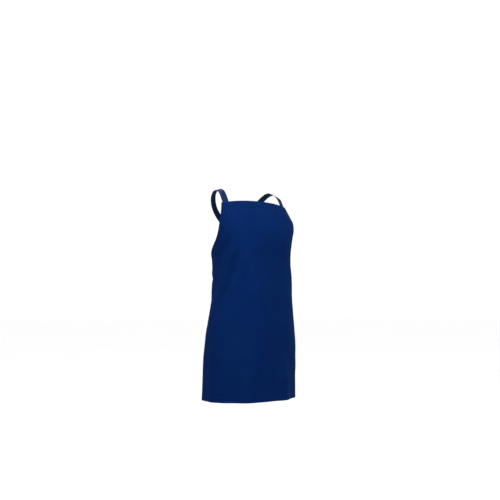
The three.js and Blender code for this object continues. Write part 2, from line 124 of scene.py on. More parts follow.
def fields(z):
    """The sections' fields at heights z, by cubic interpolation."""
    heights = SECTIONS[:, 0]
    last = len(heights) - 1
    z = np.clip(z, heights[-1], heights[0])
    i = np.clip(np.searchsorted(-heights, -z, side="right") - 1, 0, last - 1)
    low = np.maximum(np.arange(last + 1) - 1, 0)
    high = np.minimum(np.arange(last + 1) + 1, last)
    slopes = (SECTIONS[high] - SECTIONS[low]) / (heights[high] - heights[low])[:, None]
    span = (heights[i + 1] - heights[i])[:, None]
    t = (z - heights[i])[:, None] / span
    return (
        (2 * t**3 - 3 * t**2 + 1) * SECTIONS[i]
        + (t**3 - 2 * t**2 + t) * span * slopes[i]
        + (3 * t**2 - 2 * t**3) * SECTIONS[i + 1]
        + (t**3 - t**2) * span * slopes[i + 1]
    )


def together(*values):
    """Float arrays of one common shape."""
    return np.broadcast_arrays(*(np.asarray(value, float) for value in values))


def surface(s, z):
    """Points of the smooth body surface at flat distances s and heights z."""
    s, z = together(s, z)
    shape = s.shape
    s, z = s.ravel(), z.ravel()
    out = np.empty((len(s), 3))
    angle = np.linspace(0, math.pi, SECTION_STEPS + 1)[None, :]
    front_half = angle < math.pi / 2
    chunk = 2000
    for first in range(0, len(s), chunk):
        part = slice(first, first + chunk)
        _, a, yc, front, back, square = fields(z[part]).T[:, :, None]
        power = np.where(front_half, 2 / square, 1)
        x = a * np.maximum(np.sin(angle), 0) ** power
        along = np.abs(np.cos(angle)) ** power
        y = np.where(front_half, yc - front * along, yc + back * along)
        lengths = np.zeros_like(x)
        lengths[:, 1:] = np.cumsum(np.hypot(np.diff(x), np.diff(y)), axis=1)
        distance = np.minimum(np.abs(s[part]), lengths[:, -1])
        index = np.clip((lengths <= distance[:, None]).sum(axis=1) - 1, 0, SECTION_STEPS - 1)
        here = np.arange(len(index)), index
        after = here[0], index + 1
        t = (distance - lengths[here]) / (lengths[after] - lengths[here])
        out[part, 0] = np.where(s[part] < 0, -1, 1) * (x[here] + t * (x[after] - x[here]))
        out[part, 1] = y[here] + t * (y[after] - y[here])
        out[part, 2] = z[part]
    return out.reshape(*shape, 3)


def unit(v):
    return v / np.linalg.norm(v, axis=-1, keepdims=True)


def surface_normal(s, z):
    step = 3
    s, z = together(s, z)
    along_s = surface(s + step, z) - surface(s - step, z)
    along_z = surface(s, z + step) - surface(s, z - step)
    return unit(np.cross(along_s, along_z))


def crown(s):
    return BIB_TOP - BIB_CROWN * (s / BIB_HALF) ** 2


# Guides of the armhole's curve, from the bib corner to the waist corner.
ARMHOLE = np.array([(BIB_HALF, crown(BIB_HALF)), (200, -154), (235, -255), (HALF_WIDTH, WAIST)])


def armhole_at(t):
    """Flat places of the armhole's edge, t from 0 at the bib to 1 at the waist."""
    t = np.asarray(t, float)
    weights = np.stack([(1 - t) ** 3, 3 * (1 - t) ** 2 * t, 3 * (1 - t) * t**2, t**3], axis=-1)
    return weights @ ARMHOLE


ARMHOLE_TABLE = armhole_at(np.linspace(0, 1, 4001))


def upper_edge(s):
    """Height of the panel's upper edge: the bib's top, then the armhole."""
    out = np.abs(s)
    armhole = np.interp(out, ARMHOLE_TABLE[:, 0], ARMHOLE_TABLE[:, 1])
    return np.where(out <= BIB_HALF, crown(out), armhole)


# ---- folds of the cloth ----

def ease(t):
    t = np.clip(t, 0, 1)
    return t * t * (3 - 2 * t)


def beside(s, z, path):
    """Distance from a line in the flat cloth, and how far along it the nearest place is."""
    path = np.array(path, float)
    best = np.full(np.shape(s), 1e9)
    share = np.zeros(np.shape(s))
    lengths = np.linalg.norm(np.diff(path, axis=0), axis=1)
    total = lengths.sum()
    before = 0
    for start, end, length in zip(path[:-1], path[1:], lengths):
        way = (end - start) / length
        along = np.clip((s - start[0]) * way[0] + (z - start[1]) * way[1], 0, length)
        distance = np.hypot(s - start[0] - way[0] * along, z - start[1] - way[1] * along)
        nearer = distance < best
        best = np.where(nearer, distance, best)
        share = np.where(nearer, (before + along) / total, share)
        before += length
    return best, share


# Lines in the flat cloth, with depth, width, height of the shoulders, and the shares
# of the line over which each end fades.
CREASES = [
    ([(-118, -226), (-147, -300), (-175, -362), (-210, -428), (-240, -520)], 13, 12, 0.4, 0.15, 0.5),
    ([(-98, -236), (-112, -275), (-130, -325), (-150, -385)], 6.5, 9, 0.4, 0.25, 0.5),
    ([(-160, -180), (-171, -222), (-192, -266)], 7.5, 13, 0.3, 0.4, 0.5),
    ([(128, -240), (155, -310), (188, -380), (226, -480)], 7.0, 10, 0.35, 0.2, 0.5),
    ([(108, -258), (126, -320), (146, -380)], 3.5, 8, 0.4, 0.3, 0.5),
    ([(84, -560), (96, -640), (112, -720), (120, -840)], 3.0, 26, 0.35, 0.4, 0.05),
    ([(-140, -570), (-152, -680), (-146, -840)], 3.5, 22, 0.3, 0.5, 0.05),
    ([(-252, -500), (-270, -640), (-264, -840)], 7.0, 21, 0.4, 0.5, 0.05),
    ([(244, -500), (262, -640), (254, -840)], 7.0, 21, 0.4, 0.5, 0.05),
    ([(22, -640), (14, -720), (18, -840)], 3.0, 24, 0.3, 0.5, 0.05),
    ([(346, -296), (292, -328), (236, -376)], 3.6, 9, 0.4, 0.2, 0.6),
    ([(346, -338), (300, -384), (262, -452)], 3.2, 11, 0.4, 0.2, 0.6),
    ([(-346, -298), (-290, -334), (-240, -366)], 3.6, 9, 0.4, 0.2, 0.6),
    ([(-346, -342), (-306, -388), (-272, -448)], 3.2, 11, 0.4, 0.2, 0.6),
    ([(120, -70), (96, -112), (84, -170)], 1.6, 8, 0.4, 0.3, 0.6),
    ([(-122, -66), (-100, -108), (-90, -164)], 1.6, 8, 0.4, 0.3, 0.6),
    ([(-42, -90), (-54, -416), (-32, -760)], -7.5, 40, 0.1, 0.3, 0.2),
]

# Broad places where the cloth stands off or sinks: flat place, height, reach.
SWELLS = [
    (182, -128, 9, 44),
    (-182, -128, 3, 44),
    (172, -250, -4, 52),
    (175, -786, -4, 120),
]

# Flutes of the hem: height, wavelength and phase, and where they start and how they grow.
FLUTES = [(3.2, 168, -1.23), (1.6, 83, 2.1)]
FLUTES_FROM = -500
FLUTES_GROW = 290

# Faint seeded waves all over, with their height as a share of their length.
WAVES = 16
WAVE_SEED = 7
WAVE_LENGTHS = (45, 200)
WAVE_SHARE = 0.00175

# The bib's top edge has no folds, and they reach their full height below it.
FOLDS_FROM = -60
FOLDS_GROW = 70


def folds(s, z):
    """How far the cloth stands off the smooth surface."""
    s, z = together(s, z)
    off = np.zeros(s.shape)
    for path, depth, width, shoulder, fade_in, fade_out in CREASES:
        distance, share = beside(s, z, path)
        taper = ease(share / fade_in) * ease((1 - share) / fade_out)
        valley = np.exp(-((distance / width) ** 2))
        sides = np.exp(-(((distance - 2 * width) / (1.1 * width)) ** 2))
        off += taper * depth * (shoulder * sides - valley)
    for at_s, at_z, height, reach in SWELLS:
        off += height * np.exp(-((s - at_s) ** 2 + (z - at_z) ** 2) / reach**2)
    low = ease((FLUTES_FROM - z) / FLUTES_GROW)
    for height, length, phase in FLUTES:
        off += height * low * np.sin(s * 2 * math.pi / length + phase)
    rng = np.random.default_rng(WAVE_SEED)
    for _ in range(WAVES):
        length = rng.uniform(*WAVE_LENGTHS)
        turn = rng.uniform(0, math.pi)
        phase = rng.uniform(0, 2 * math.pi)
        way = s * math.cos(turn) + z * math.sin(turn)
        off += WAVE_SHARE * length * np.sin(way * 2 * math.pi / length + phase)
    return off * ease((FOLDS_FROM - z) / FOLDS_GROW)


def cloth(s, z, lift):
    """Points on the folded cloth, lifted off its middle, and the outward normals there."""
    s, z, lift = together(s, z, lift)
    normal = surface_normal(s, z)
    points = surface(s, z) + normal * (folds(s, z) + lift)[..., None]
    return points, normal


# ---- mesh helpers ----

def linked(name, data):
    """Object of this data, linked to the scene."""
    thing = bpy.data.objects.new(name, data)
    bpy.context.scene.collection.objects.link(thing)
    return thing


def new_object(name, points, faces, material, uv=None, wear=None):
    """Mesh object from points in millimetres; uv and wear are per point."""
    mesh = bpy.data.meshes.new(name)
    points = np.asarray(points, float).reshape(-1, 3) * MM
    mesh.from_pydata(points.tolist(), [], [list(map(int, f)) for f in faces])
    if uv is not None:
        layer = mesh.uv_layers.new(name="weave")
        corners = np.empty(len(mesh.loops), int)
        mesh.loops.foreach_get("vertex_index", corners)
        flat = np.asarray(uv, float).reshape(-1, 2) * MM
        layer.data.foreach_set("uv", flat[corners].ravel())
    if wear is not None:
        field = mesh.attributes.new("wear", "FLOAT", "POINT")
        field.data.foreach_set("value", np.asarray(wear, float).ravel())
    mesh.polygons.foreach_set("use_smooth", [True] * len(mesh.polygons))
    mesh.validate()
    mesh.update()
    mesh.materials.append(material)
    return linked(name, mesh)


def grid_faces(rows, columns, closed=False, looped=False):
    """Quads of a grid of points; closed joins its sides and looped its ends."""
    faces = []
    for i in range(rows if looped else rows - 1):
        n = (i + 1) % rows
        for j in range(columns if closed else columns - 1):
            k = (j + 1) % columns
            faces.append((i * columns + j, i * columns + k, n * columns + k, n * columns + j))
    return faces


def thicken(thing, thickness):
    solid = thing.modifiers.new("thickness", "SOLIDIFY")
    solid.thickness = thickness * MM
    solid.offset = 0
    solid.use_even_offset = False


def frames(points, normals):
    """Directions along a path, outward from it and across it."""
    along = unit(np.gradient(points, axis=0))
    out = unit(normals - along * (normals * along).sum(axis=1, keepdims=True))
    return along, out, np.cross(along, out)


def path_lengths(points):
    return np.concatenate([[0], np.cumsum(np.linalg.norm(np.diff(points, axis=0), axis=1))])


def resample(points, normals, step):
    """Places about every step along a path of straight pieces."""
    points, normals = np.asarray(points, float), np.asarray(normals, float)
    lengths = path_lengths(points)
    count = max(int(round(lengths[-1] / step)), 2)
    at = np.linspace(0, lengths[-1], count + 1)
    spots = np.stack([np.interp(at, lengths, points[:, k]) for k in range(3)], axis=1)
    ways = np.stack([np.interp(at, lengths, normals[:, k]) for k in range(3)], axis=1)
    return spots, unit(ways)


def between(first, last, start, stop, t):
    """Value at t on the straight line from first at start to last at stop."""
    return (stop - t) / (stop - start) * first + (t - start) / (stop - start) * last


def smooth_path(points, normals, step):
    """Centripetal Catmull-Rom curve through the points, sampled about every step."""
    points, normals = np.asarray(points, float), np.asarray(normals, float)
    knots = np.array([2 * points[0] - points[1], *points, 2 * points[-1] - points[-2]])
    spans = np.linalg.norm(np.diff(knots, axis=0), axis=1) ** 0.5
    spots, ways = [], []
    for i in range(len(points) - 1):
        p0, p1, p2, p3 = knots[i : i + 4]
        t1, t2, t3 = np.cumsum(spans[i : i + 3])
        for t in np.linspace(t1, t2, 24, endpoint=False):
            middle = between(p1, p2, t1, t2, t)
            before = between(between(p0, p1, 0, t1, t), middle, 0, t2, t)
            after = between(middle, between(p2, p3, t2, t3, t), t1, t3, t)
            spots.append(between(before, after, t1, t2, t))
            ways.append(between(normals[i], normals[i + 1], t1, t2, t))
    return resample([*spots, points[-1]], [*ways, normals[-1]], step)


# Cross-section of webbing, as shares of its width and thickness: fuller selvedges
# along both edges and a flatter middle.
WEB_HALF = [(-0.5, 0.0), (-0.494, 0.34), (-0.478, 0.5), (-0.44, 0.5), (-0.41, 0.4), (-0.2, 0.44), (0, 0.45)]


WEB_TOP = WEB_HALF + [(-u, v) for u, v in reversed(WEB_HALF[:-1])]
WEB_UNDER = [(u, -v) for u, v in reversed(WEB_TOP[1:-1])]
WEB_OUTLINE = np.array(WEB_TOP + WEB_UNDER) * (WEB_WIDTH, WEB)


def webbing(name, points, normals, step):
    """Length of webbing along a path, its cross-section placed across and outward."""
    points, normals = resample(points, normals, step)
    _, out, across = frames(points, normals)
    rings = points[:, None] + across[:, None] * WEB_OUTLINE[:, :1] + out[:, None] * WEB_OUTLINE[:, 1:]
    rows, columns = len(points), len(WEB_OUTLINE)
    faces = grid_faces(rows, columns, closed=True)
    faces.append(tuple(reversed(range(columns))))
    faces.append(tuple((rows - 1) * columns + j for j in range(columns)))
    uv = np.stack(together(WEB_OUTLINE[:, 0], path_lengths(points)[:, None]), axis=-1)
    return new_object(name, rings, [f[::-1] for f in faces], MATERIALS["webbing"], uv)


def turn(centre, ahead, out, radius, steps=16):
    """Half turn round a bar, starting outward and going ahead."""
    angle = np.linspace(0, math.pi, steps + 1)[:, None]
    normals = np.cos(angle) * out + np.sin(angle) * ahead
    return centre + normals * radius, normals


STITCH = 2.9
STITCH_GAP = 0.9
THREAD = 0.26
STITCH_RINGS = ((-0.85, 0.8), (0, 1.15), (0.85, 0.8))  # places along half a stitch, fullness
STITCH_SIDES = 6


def stitch_line(points, normals):
    """Points and faces of a run of stitches that lies on a path."""
    points, normals = resample(points, normals, 1.0)
    along, out, across = frames(points, normals)
    lengths = path_lengths(points)
    count = max(int(lengths[-1] / (STITCH + STITCH_GAP)), 1)
    pitch = lengths[-1] / count
    around = STITCH_SIDES
    half = STITCH / 2
    vertices, faces = [], []
    for stitch in range(count):
        at = (stitch + 0.5) * pitch
        i = int(round(at / lengths[-1] * (len(points) - 1)))
        base = len(vertices)
        for place, size in STITCH_RINGS:
            for j in range(around):
                angle = 2 * math.pi * j / around
                vertices.append(
                    points[i]
                    + along[i] * half * place
                    + across[i] * THREAD * 1.25 * size * math.cos(angle)
                    + out[i] * THREAD * size * (math.sin(angle) + 0.35)
                )
        vertices.append(points[i] - along[i] * half)
        vertices.append(points[i] + along[i] * half)
        tip = base + len(STITCH_RINGS) * around
        body = grid_faces(len(STITCH_RINGS), around, closed=True)
        faces += [tuple(base + corner for corner in face) for face in body]
        for j in range(around):
            n = (j + 1) % around
            faces.append((base + n, base + j, tip))
            faces.append((tip - around + j, tip - around + n, tip + 1))
    return vertices, faces


def stitching(name, lines):
    """One piece of thread out of several runs of stitches."""
    vertices, faces = [], []
    for points, normals in lines:
        more, more_faces = stitch_line(points, normals)
        faces += [tuple(i + len(vertices) for i in face) for face in more_faces]
        vertices += more
    thing = new_object(name, vertices, faces, MATERIALS["thread"])
    return thing


def flat_steps(flat, step):
    """Places about every step along a line in the flat, as two rows of numbers."""
    flat = np.array(flat, float)
    lengths = path_lengths(flat)
    at = np.linspace(0, lengths[-1], max(int(lengths[-1] / step), 2) + 1)
    return np.stack([np.interp(at, lengths, flat[:, k]) for k in (0, 1)])


def on_cloth(flat, lift):
    """Path on the cloth through flat places, facing out for a lift above the middle."""
    points, normals = cloth(*flat_steps(flat, 4), lift)
    return points, normals if lift > 0 else -normals


def box_and_cross(s0, s1, z0, z1):
    """Flat lines of a sewn box with a cross in it."""
    return [
        [(s0, z0), (s1, z0), (s1, z1), (s0, z1), (s0, z0)],
        [(s0, z0), (s1, z1)],
        [(s0, z1), (s1, z0)],
    ]


# ---- materials ----

class Shader:
    """A material whose nodes are added one call at a time."""

    def __init__(self, name, **constants):
        self.material = bpy.data.materials.new(name)
        self.material.use_nodes = True
        self.tree = self.material.node_tree
        self.bsdf = self.tree.nodes["Principled BSDF"]
        for key, value in constants.items():
            self.bsdf.inputs[key.replace("_", " ")].default_value = value

    def feed(self, value, socket):
        if isinstance(value, bpy.types.NodeSocket):
            self.tree.links.new(value, socket)
        else:
            socket.default_value = value

    def node(self, kind, inputs, **settings):
        node = self.tree.nodes.new("ShaderNode" + kind)
        for key, value in settings.items():
            setattr(node, key, value)
        for key, value in inputs.items():
            self.feed(value, node.inputs[key])
        return node

    def calc(self, operation, first, second=0.0):
        return self.node("Math", {0: first, 1: second}, operation=operation).outputs[0]

    def weigh(self, *parts):
        """Sum of values, each times its weight."""
        total = None
        for value, weight in parts:
            share = self.calc("MULTIPLY", value, weight)
            total = self.calc("ADD", total, share) if total else share
        return total

    def wave(self, value, pitch):
        """Sine of a value in metres, one wave for each pitch."""
        return self.calc("SINE", self.calc("MULTIPLY", value, 2 * math.pi / pitch))

    def noise(self, scale, detail, coords=None):
        inputs = {"Scale": scale, "Detail": detail, "Roughness": 0.55}
        inputs["Vector"] = coords or self.place()
        return self.node("TexNoise", inputs).outputs["Fac"]

    def place(self):
        return self.node("TexCoord", {}).outputs["Object"]

    def uv(self):
        flat = self.node("UVMap", {}, uv_map="weave").outputs["UV"]
        parts = self.node("SeparateXYZ", {0: flat})
        return flat, parts.outputs[0], parts.outputs[1]

    def stretch(self, vector, scale):
        return self.node("Mapping", {"Vector": vector, "Scale": scale}).outputs[0]

    def ramp(self, value, low, high, first=0.0, last=1.0):
        """Value carried from the range low to high to the range first to last."""
        inputs = {0: value, 1: low, 2: high, 3: first, 4: last}
        return self.node("MapRange", inputs).outputs[0]

    def mix(self, share, first, second):
        node = self.node("Mix", {}, data_type="RGBA")
        self.feed(share, node.inputs[0])
        self.feed(first, node.inputs[6])
        self.feed(second, node.inputs[7])
        return node.outputs[2]

    def bump(self, height, distance, strength, below=None):
        inputs = {"Height": height, "Distance": distance, "Strength": strength}
        node = self.node("Bump", inputs)
        if below:
            self.feed(below, node.inputs["Normal"])
        return node.outputs[0]

    def finish(self, colour, roughness, normal=None):
        self.feed(colour, self.bsdf.inputs["Base Color"])
        self.feed(roughness, self.bsdf.inputs["Roughness"])
        if normal:
            self.feed(normal, self.bsdf.inputs["Normal"])
        return self.material


def twill(name, dark, light, faded):
    """Heavy cotton twill: diagonal ribs, uneven yarns, cloudy dye and worn edges."""
    shader = Shader(name, Sheen_Weight=0.02, Sheen_Roughness=0.5, Specular_IOR_Level=0.008)
    shader.bsdf.inputs["Sheen Tint"].default_value = (0.06, 0.25, 1.0, 1)
    flat, u, v = shader.uv()
    ribs = shader.wave(shader.calc("ADD", u, v), 0.0011)
    yarn = shader.noise(1.0, 3.0, shader.stretch(flat, (1500, 130, 1)))
    weft = shader.noise(1.0, 2.0, shader.stretch(flat, (120, 1300, 1)))
    cloud = shader.noise(9.0, 4.0)
    patches = shader.noise(38.0, 3.0)
    tone = shader.weigh((cloud, 0.55), (patches, 0.3), (yarn, 0.5), (weft, 0.35), (ribs, 0.08))
    colour = shader.mix(shader.ramp(tone, 0.55, 1.15), dark, light)
    wear = shader.node("Attribute", {}, attribute_name="wear").outputs["Fac"]
    rubbed = shader.calc("MULTIPLY", wear, shader.ramp(patches, 0.35, 0.7))
    colour = shader.mix(shader.calc("MULTIPLY", rubbed, 0.55), colour, faded)
    weave = shader.weigh((ribs, 0.5), (yarn, 1), (weft, 1))
    soft = shader.bump(shader.noise(46.0, 4.0), 0.0012, 0.5)
    roughness = shader.ramp(patches, 0.3, 0.7, 0.78, 0.92)
    return shader.finish(colour, roughness, shader.bump(weave, 0.0002, 0.8, soft))


def woven_tape(name, dark, light):
    """Webbing: a chevron of ribs over lengthwise yarns, with plain selvedges."""
    shader = Shader(name, Sheen_Weight=0.03, Sheen_Roughness=0.45, Specular_IOR_Level=0.03)
    shader.bsdf.inputs["Sheen Tint"].default_value = (0.25, 0.45, 1.0, 1)
    flat, u, v = shader.uv()
    side = shader.calc("ABSOLUTE", u)
    chevron = shader.calc("PINGPONG", side, 0.003)
    ribs = shader.wave(shader.calc("ADD", v, chevron), 0.0024)
    columns = shader.wave(u, 0.0016)
    fibres = shader.noise(1.0, 3.0, shader.stretch(flat, (1400, 160, 1)))
    cloud = shader.noise(22.0, 3.0)
    weave = shader.weigh((ribs, 0.32), (columns, 0.2), (fibres, 1))
    tone = shader.weigh((weave, 0.5), (cloud, 0.5))
    selvedge = shader.ramp(side, 0.0108, 0.0118)
    colour = shader.mix(shader.ramp(tone, 0.15, 0.85), dark, light)
    colour = shader.mix(shader.calc("MULTIPLY", selvedge, 0.35), colour, dark)
    roughness = shader.ramp(fibres, 0.3, 0.7, 0.6, 0.8)
    return shader.finish(colour, roughness, shader.bump(weave, 0.00035, 0.8))


def thread(name, colour):
    """Twisted polyester sewing thread."""
    shader = Shader(name, Sheen_Weight=0.02, Specular_IOR_Level=0.04)
    twist = shader.noise(2400.0, 2.0)
    light = (*(1.5 * part for part in colour[:3]), 1)
    tone = shader.mix(shader.ramp(twist, 0.3, 0.7), colour, light)
    return shader.finish(tone, 0.55, shader.bump(twist, 0.0001, 0.5))


def moulded_plastic(name):
    """Black acetal: fine spark grain, faint flow marks and paler scuffs."""
    shader = Shader(name, Specular_IOR_Level=0.28)
    grain = shader.noise(2600.0, 2.0)
    flow = shader.noise(90.0, 4.0)
    scuffs = shader.noise(1.0, 4.0, shader.stretch(shader.place(), (500, 60, 900)))
    dark, grey, scuffed = (0.006, 0.0063, 0.007, 1), (0.011, 0.0115, 0.0125, 1), (0.018, 0.0185, 0.02, 1)
    colour = shader.mix(shader.ramp(flow, 0.3, 0.75), dark, grey)
    colour = shader.mix(shader.ramp(scuffs, 0.62, 0.8), colour, scuffed)
    roughness = shader.ramp(flow, 0.3, 0.7, 0.34, 0.52)
    return shader.finish(colour, roughness, shader.bump(grain, 0.00005, 0.5))


def plated_steel(name):
    """Nickel-plated wire: drawn lines and soft tarnish."""
    shader = Shader(name, Metallic=1.0)
    drawn = shader.noise(1.0, 3.0, shader.stretch(shader.place(), (220, 2200, 2200)))
    tarnish = shader.noise(170.0, 4.0)
    bright, dull = (0.4, 0.395, 0.385, 1), (0.24, 0.23, 0.215, 1)
    colour = shader.mix(shader.ramp(tarnish, 0.4, 0.75), bright, dull)
    roughness = shader.ramp(tarnish, 0.3, 0.75, 0.28, 0.5)
    return shader.finish(colour, roughness, shader.bump(drawn, 0.00004, 0.5))


def studio_white(name):
    shader = Shader(name, Specular_IOR_Level=0.1)
    mottle = shader.noise(1.5, 2.0)
    colour = shader.mix(mottle, (0.93, 0.93, 0.93, 1), (0.96, 0.96, 0.96, 1))
    return shader.finish(colour, 0.9)


MATERIALS = {
    "cloth": twill(
        "navy_twill",
        dark=(0.0001, 0.0034, 0.0215, 1), light=(0.0005, 0.0056, 0.032, 1), faded=(0.002, 0.0095, 0.045, 1),
    ),
    "lining": twill(
        "navy_twill_inside",
        dark=(0.0002, 0.004, 0.022, 1), light=(0.0008, 0.0066, 0.032, 1), faded=(0.003, 0.011, 0.045, 1),
    ),
    "binding": twill(
        "navy_binding",
        dark=(0.0001, 0.003, 0.019, 1), light=(0.0004, 0.005, 0.028, 1), faded=(0.0025, 0.0105, 0.045, 1),
    ),
    "webbing": woven_tape(
        "navy_webbing", dark=(0.0002, 0.003, 0.0155, 1), light=(0.0014, 0.0075, 0.031, 1),
    ),
    "thread": thread("navy_thread", (0.0008, 0.0065, 0.036, 1)),
    "plastic": moulded_plastic("black_acetal"),
    "steel": plated_steel("nickel_wire"),
    "stage": studio_white("pale_floor"),
}


# ---- the panel ----

# Edge turned to the back: distance in from the fold, and lift.
TURN = [(0.7, 0.0), (0.1, -0.04), (-0.33, -0.25), (-0.45, -0.53), (-0.33, -0.8), (0.1, -1.0)]
SIDE_HEM = 13
BOTTOM_HEM = 22
TOP_HEM = 3
BIB_COLUMNS, ARMHOLE_COLUMNS, PANEL_ROWS = 64, 44, 150


def turned(depth):
    """Distances in and lifts of an edge turned to the back over a depth."""
    inner = [(d, FOLD_IN) for d in np.linspace(0.9, depth, 5)]
    return np.array(TURN + inner)


def panel():
    """The whole cloth as one grid, with its hems turned to the back."""
    middle = np.linspace(-BIB_HALF, BIB_HALF, BIB_COLUMNS)
    t = np.linspace(0, 1, ARMHOLE_COLUMNS + 2)[1:-1]
    outer = armhole_at(t)[:, 0]
    side = turned(SIDE_HEM)
    s = np.concatenate([
        -HALF_WIDTH + side[::-1, 0], -outer[::-1], middle, outer, HALF_WIDTH - side[:, 0],
    ])
    side_lift = np.concatenate([
        side[::-1, 1], np.zeros(2 * len(outer) + len(middle)), side[:, 1],
    ])
    edge = upper_edge(s)
    edge[: len(side)] = edge[-len(side) :] = WAIST
    inset = TURN[0][0]
    top = turned(TOP_HEM)[::-1]
    z_rows = [edge - d for d, _ in top]
    lift_rows = [side_lift + lift for _, lift in top]
    for share in np.linspace(0, 1, PANEL_ROWS + 2)[1:-1] ** 1.12:
        z_rows.append((edge - inset) * (1 - share) + (HEM + inset) * share)
        lift_rows.append(side_lift)
    for d, lift in turned(BOTTOM_HEM):
        z_rows.append(np.full(len(s), HEM + d))
        lift_rows.append(side_lift + lift)
    z = np.array(z_rows)
    lift = np.array(lift_rows)
    flat_s = np.broadcast_to(s, z.shape)
    points, _ = cloth(flat_s, z, lift)
    near_side = HALF_WIDTH - np.abs(flat_s)
    near_top = upper_edge(flat_s) - z
    near_edge = np.minimum(np.minimum(near_side, z - HEM), near_top)
    wear = np.exp(-np.maximum(near_edge, 0) / 4)
    uv = np.stack([flat_s, z], axis=-1)
    thing = new_object("apron_cloth", points, grid_faces(*z.shape), MATERIALS["cloth"], uv, wear)
    thicken(thing, CLOTH)
    return thing


def edge_wear(rows, columns):
    """Wear at the points of a grid: full at its edges and gone a few points in."""
    i, j = np.indices((rows, columns))
    near = np.minimum(np.minimum(i, rows - 1 - i), np.minimum(j, columns - 1 - j))
    return np.exp(-near / 1.2)


def patch(name, s0, s1, top, depth, lift, across, down, node):
    """Cloth sewn inside the panel from s0 to s1, with its upper edge given by top(s)."""
    s = np.linspace(s0, s1, across + 1)
    z = top(s) - depth * np.linspace(0, 1, down + 1)[:, None]
    s, z = np.broadcast_arrays(s, z)
    points, _ = cloth(s, z, lift)
    uv = np.stack([s, z], axis=-1)
    wear = edge_wear(down + 1, across + 1)
    thing = new_object(name, points, grid_faces(*s.shape), MATERIALS["lining"], uv, wear)
    thicken(thing, TAPE)
    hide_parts(node)
    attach(thing, "apron")
    return thing


def armhole_lines(t, inward):
    """Flat places beside the armhole's edge, inward from it."""
    flat = armhole_at(t)
    way = unit(np.gradient(flat, axis=0))
    side = np.stack([way[:, 1], -way[:, 0]], axis=1)
    return flat + side * inward


# Cross-section of the binding round the armhole's edge: distance inward, and lift.
BINDING = [
    (8.2, 0.82), (7.9, 1.02), (6, 1.08), (3, 1.08), (0.6, 1.05), (-0.7, 0.75), (-1.35, 0.1),
    (-1.45, -0.6), (-1.2, -1.35), (-0.5, -1.9), (0.6, -2.1), (3, -2.12), (6, -2.1), (7.9, -2.0), (8.2, -1.8),
]


def binding(name, side):
    """Tape round one armhole's edge and the two rows of stitches that hold it."""
    t = np.linspace(0, 1, 90)
    mirror = np.array([side, 1])
    flat = np.stack([armhole_lines(t, inward) * mirror for inward, _ in BINDING], axis=1)
    lift = np.broadcast_to([lift for _, lift in BINDING], flat.shape[:2])
    points, _ = cloth(flat[..., 0], flat[..., 1], lift)
    ripple = 0.12 * np.sin(np.arange(len(t)) * 1.9)[:, None, None]
    middle = points.mean(axis=1, keepdims=True)
    points = points + unit(points - middle) * ripple
    around = path_lengths(np.array(BINDING))
    uv = np.stack(together(path_lengths(points[:, 0])[:, None], around), axis=-1)
    wear = np.broadcast_to(np.exp(-np.abs(around - around[7]) / 1.4), flat.shape[:2])
    faces = grid_faces(len(t), len(BINDING))
    thing = new_object(f"armhole_tape_{name}", points, faces, MATERIALS["binding"], uv, wear)
    thicken(thing, BINDING_THICKNESS)
    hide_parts(f"armhole_binding_{name}")
    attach(thing, "apron")
    row = armhole_lines(np.linspace(0.01, 0.985, 120), 6.2) * mirror
    lines = [on_cloth(row, lift) for lift in (1.36, -2.4)]
    thread_piece = stitching(f"armhole_stitches_{name}", lines)
    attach(thread_piece, "apron")
    return thing, thread_piece


def hem_stitches():
    """Thread along the bottom, sides and top, and over the patches, on both faces."""
    lines = []
    for lift, inside in ((CLOTH / 2, False), (FOLD_IN - CLOTH / 2, True)):
        row = HEM + BOTTOM_HEM - 3
        reach = HALF_WIDTH - 2
        lines.append(on_cloth([(-reach, row), (reach, row)], lift))
        for side in (-1, 1):
            at = side * (HALF_WIDTH - SIDE_HEM + 2.5)
            lines.append(on_cloth([(at, WAIST - 12), (at, HEM + 3)], lift))
        for down in (4.5, 34.5):
            s = np.linspace(-BIB_HALF + 9, BIB_HALF - 9, 60)
            flat = np.stack([s, crown(s) - down], axis=1)
            level = FACING_LIFT - TAPE / 2 if inside else lift
            lines.append(on_cloth(flat, level))
    for side in (-1, 1):
        strap_s = [side * (STRAP_AT + across) for across in (-10, 10)]
        for flat in box_and_cross(*strap_s, BIB_PATCH_TOP - 4, BIB_PATCH_TOP - BIB_PATCH_HEIGHT + 4):
            lines.append(on_cloth(flat, CLOTH / 2))
            lines.append(on_cloth(flat, BIB_PATCH_LIFT - TAPE / 2))
        for flat in box_and_cross(side * 297, side * 338, WAIST_STRAP_Z + 9, WAIST_STRAP_Z - 9):
            lines.append(on_cloth(flat, CLOTH / 2))
            lines.append(on_cloth(flat, WAIST_STRAP_LIFT - WEB / 2))
    return stitching("hem_stitches", lines)


apron_cloth = panel()
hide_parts("apron_panel")
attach(apron_cloth, "apron")
cloth_pieces = [patch(
    "bib_lining", -FACING_END, FACING_END, lambda s: crown(s) - 1.6,
    FACING_HEIGHT, FACING_LIFT, 90, 14, "bib_facing",
)]
for side_name, way in SIDES:
    cloth_pieces.append(patch(
        f"bib_reinforcement_{side_name}", way * (STRAP_AT - 15), way * (STRAP_AT + 13),
        lambda s: BIB_PATCH_TOP, BIB_PATCH_HEIGHT, BIB_PATCH_LIFT, 14, 16, f"bib_patch_{side_name}",
    ))
    cloth_pieces.append(patch(
        f"waist_reinforcement_{side_name}", way * 288, way * 343,
        lambda s: WAIST_PATCH_TOP, WAIST_PATCH_HEIGHT, WAIST_PATCH_LIFT, 16, 16, f"waist_patch_{side_name}",
    ))
    cloth_pieces += binding(side_name, way)
seams = hem_stitches()
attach(seams, "apron")
cloth_pieces.append(seams)


# ---- shoulder straps, rings and sliders ----

def crossing(side, along):
    """Place on a shoulder strap, along it from where the two cross."""
    layer = CROSS_LAYER if side > 0 else 0
    way = np.array([-side, 0, -1]) / math.sqrt(2)
    return CROSS + way * along + np.array([0, layer, 0])


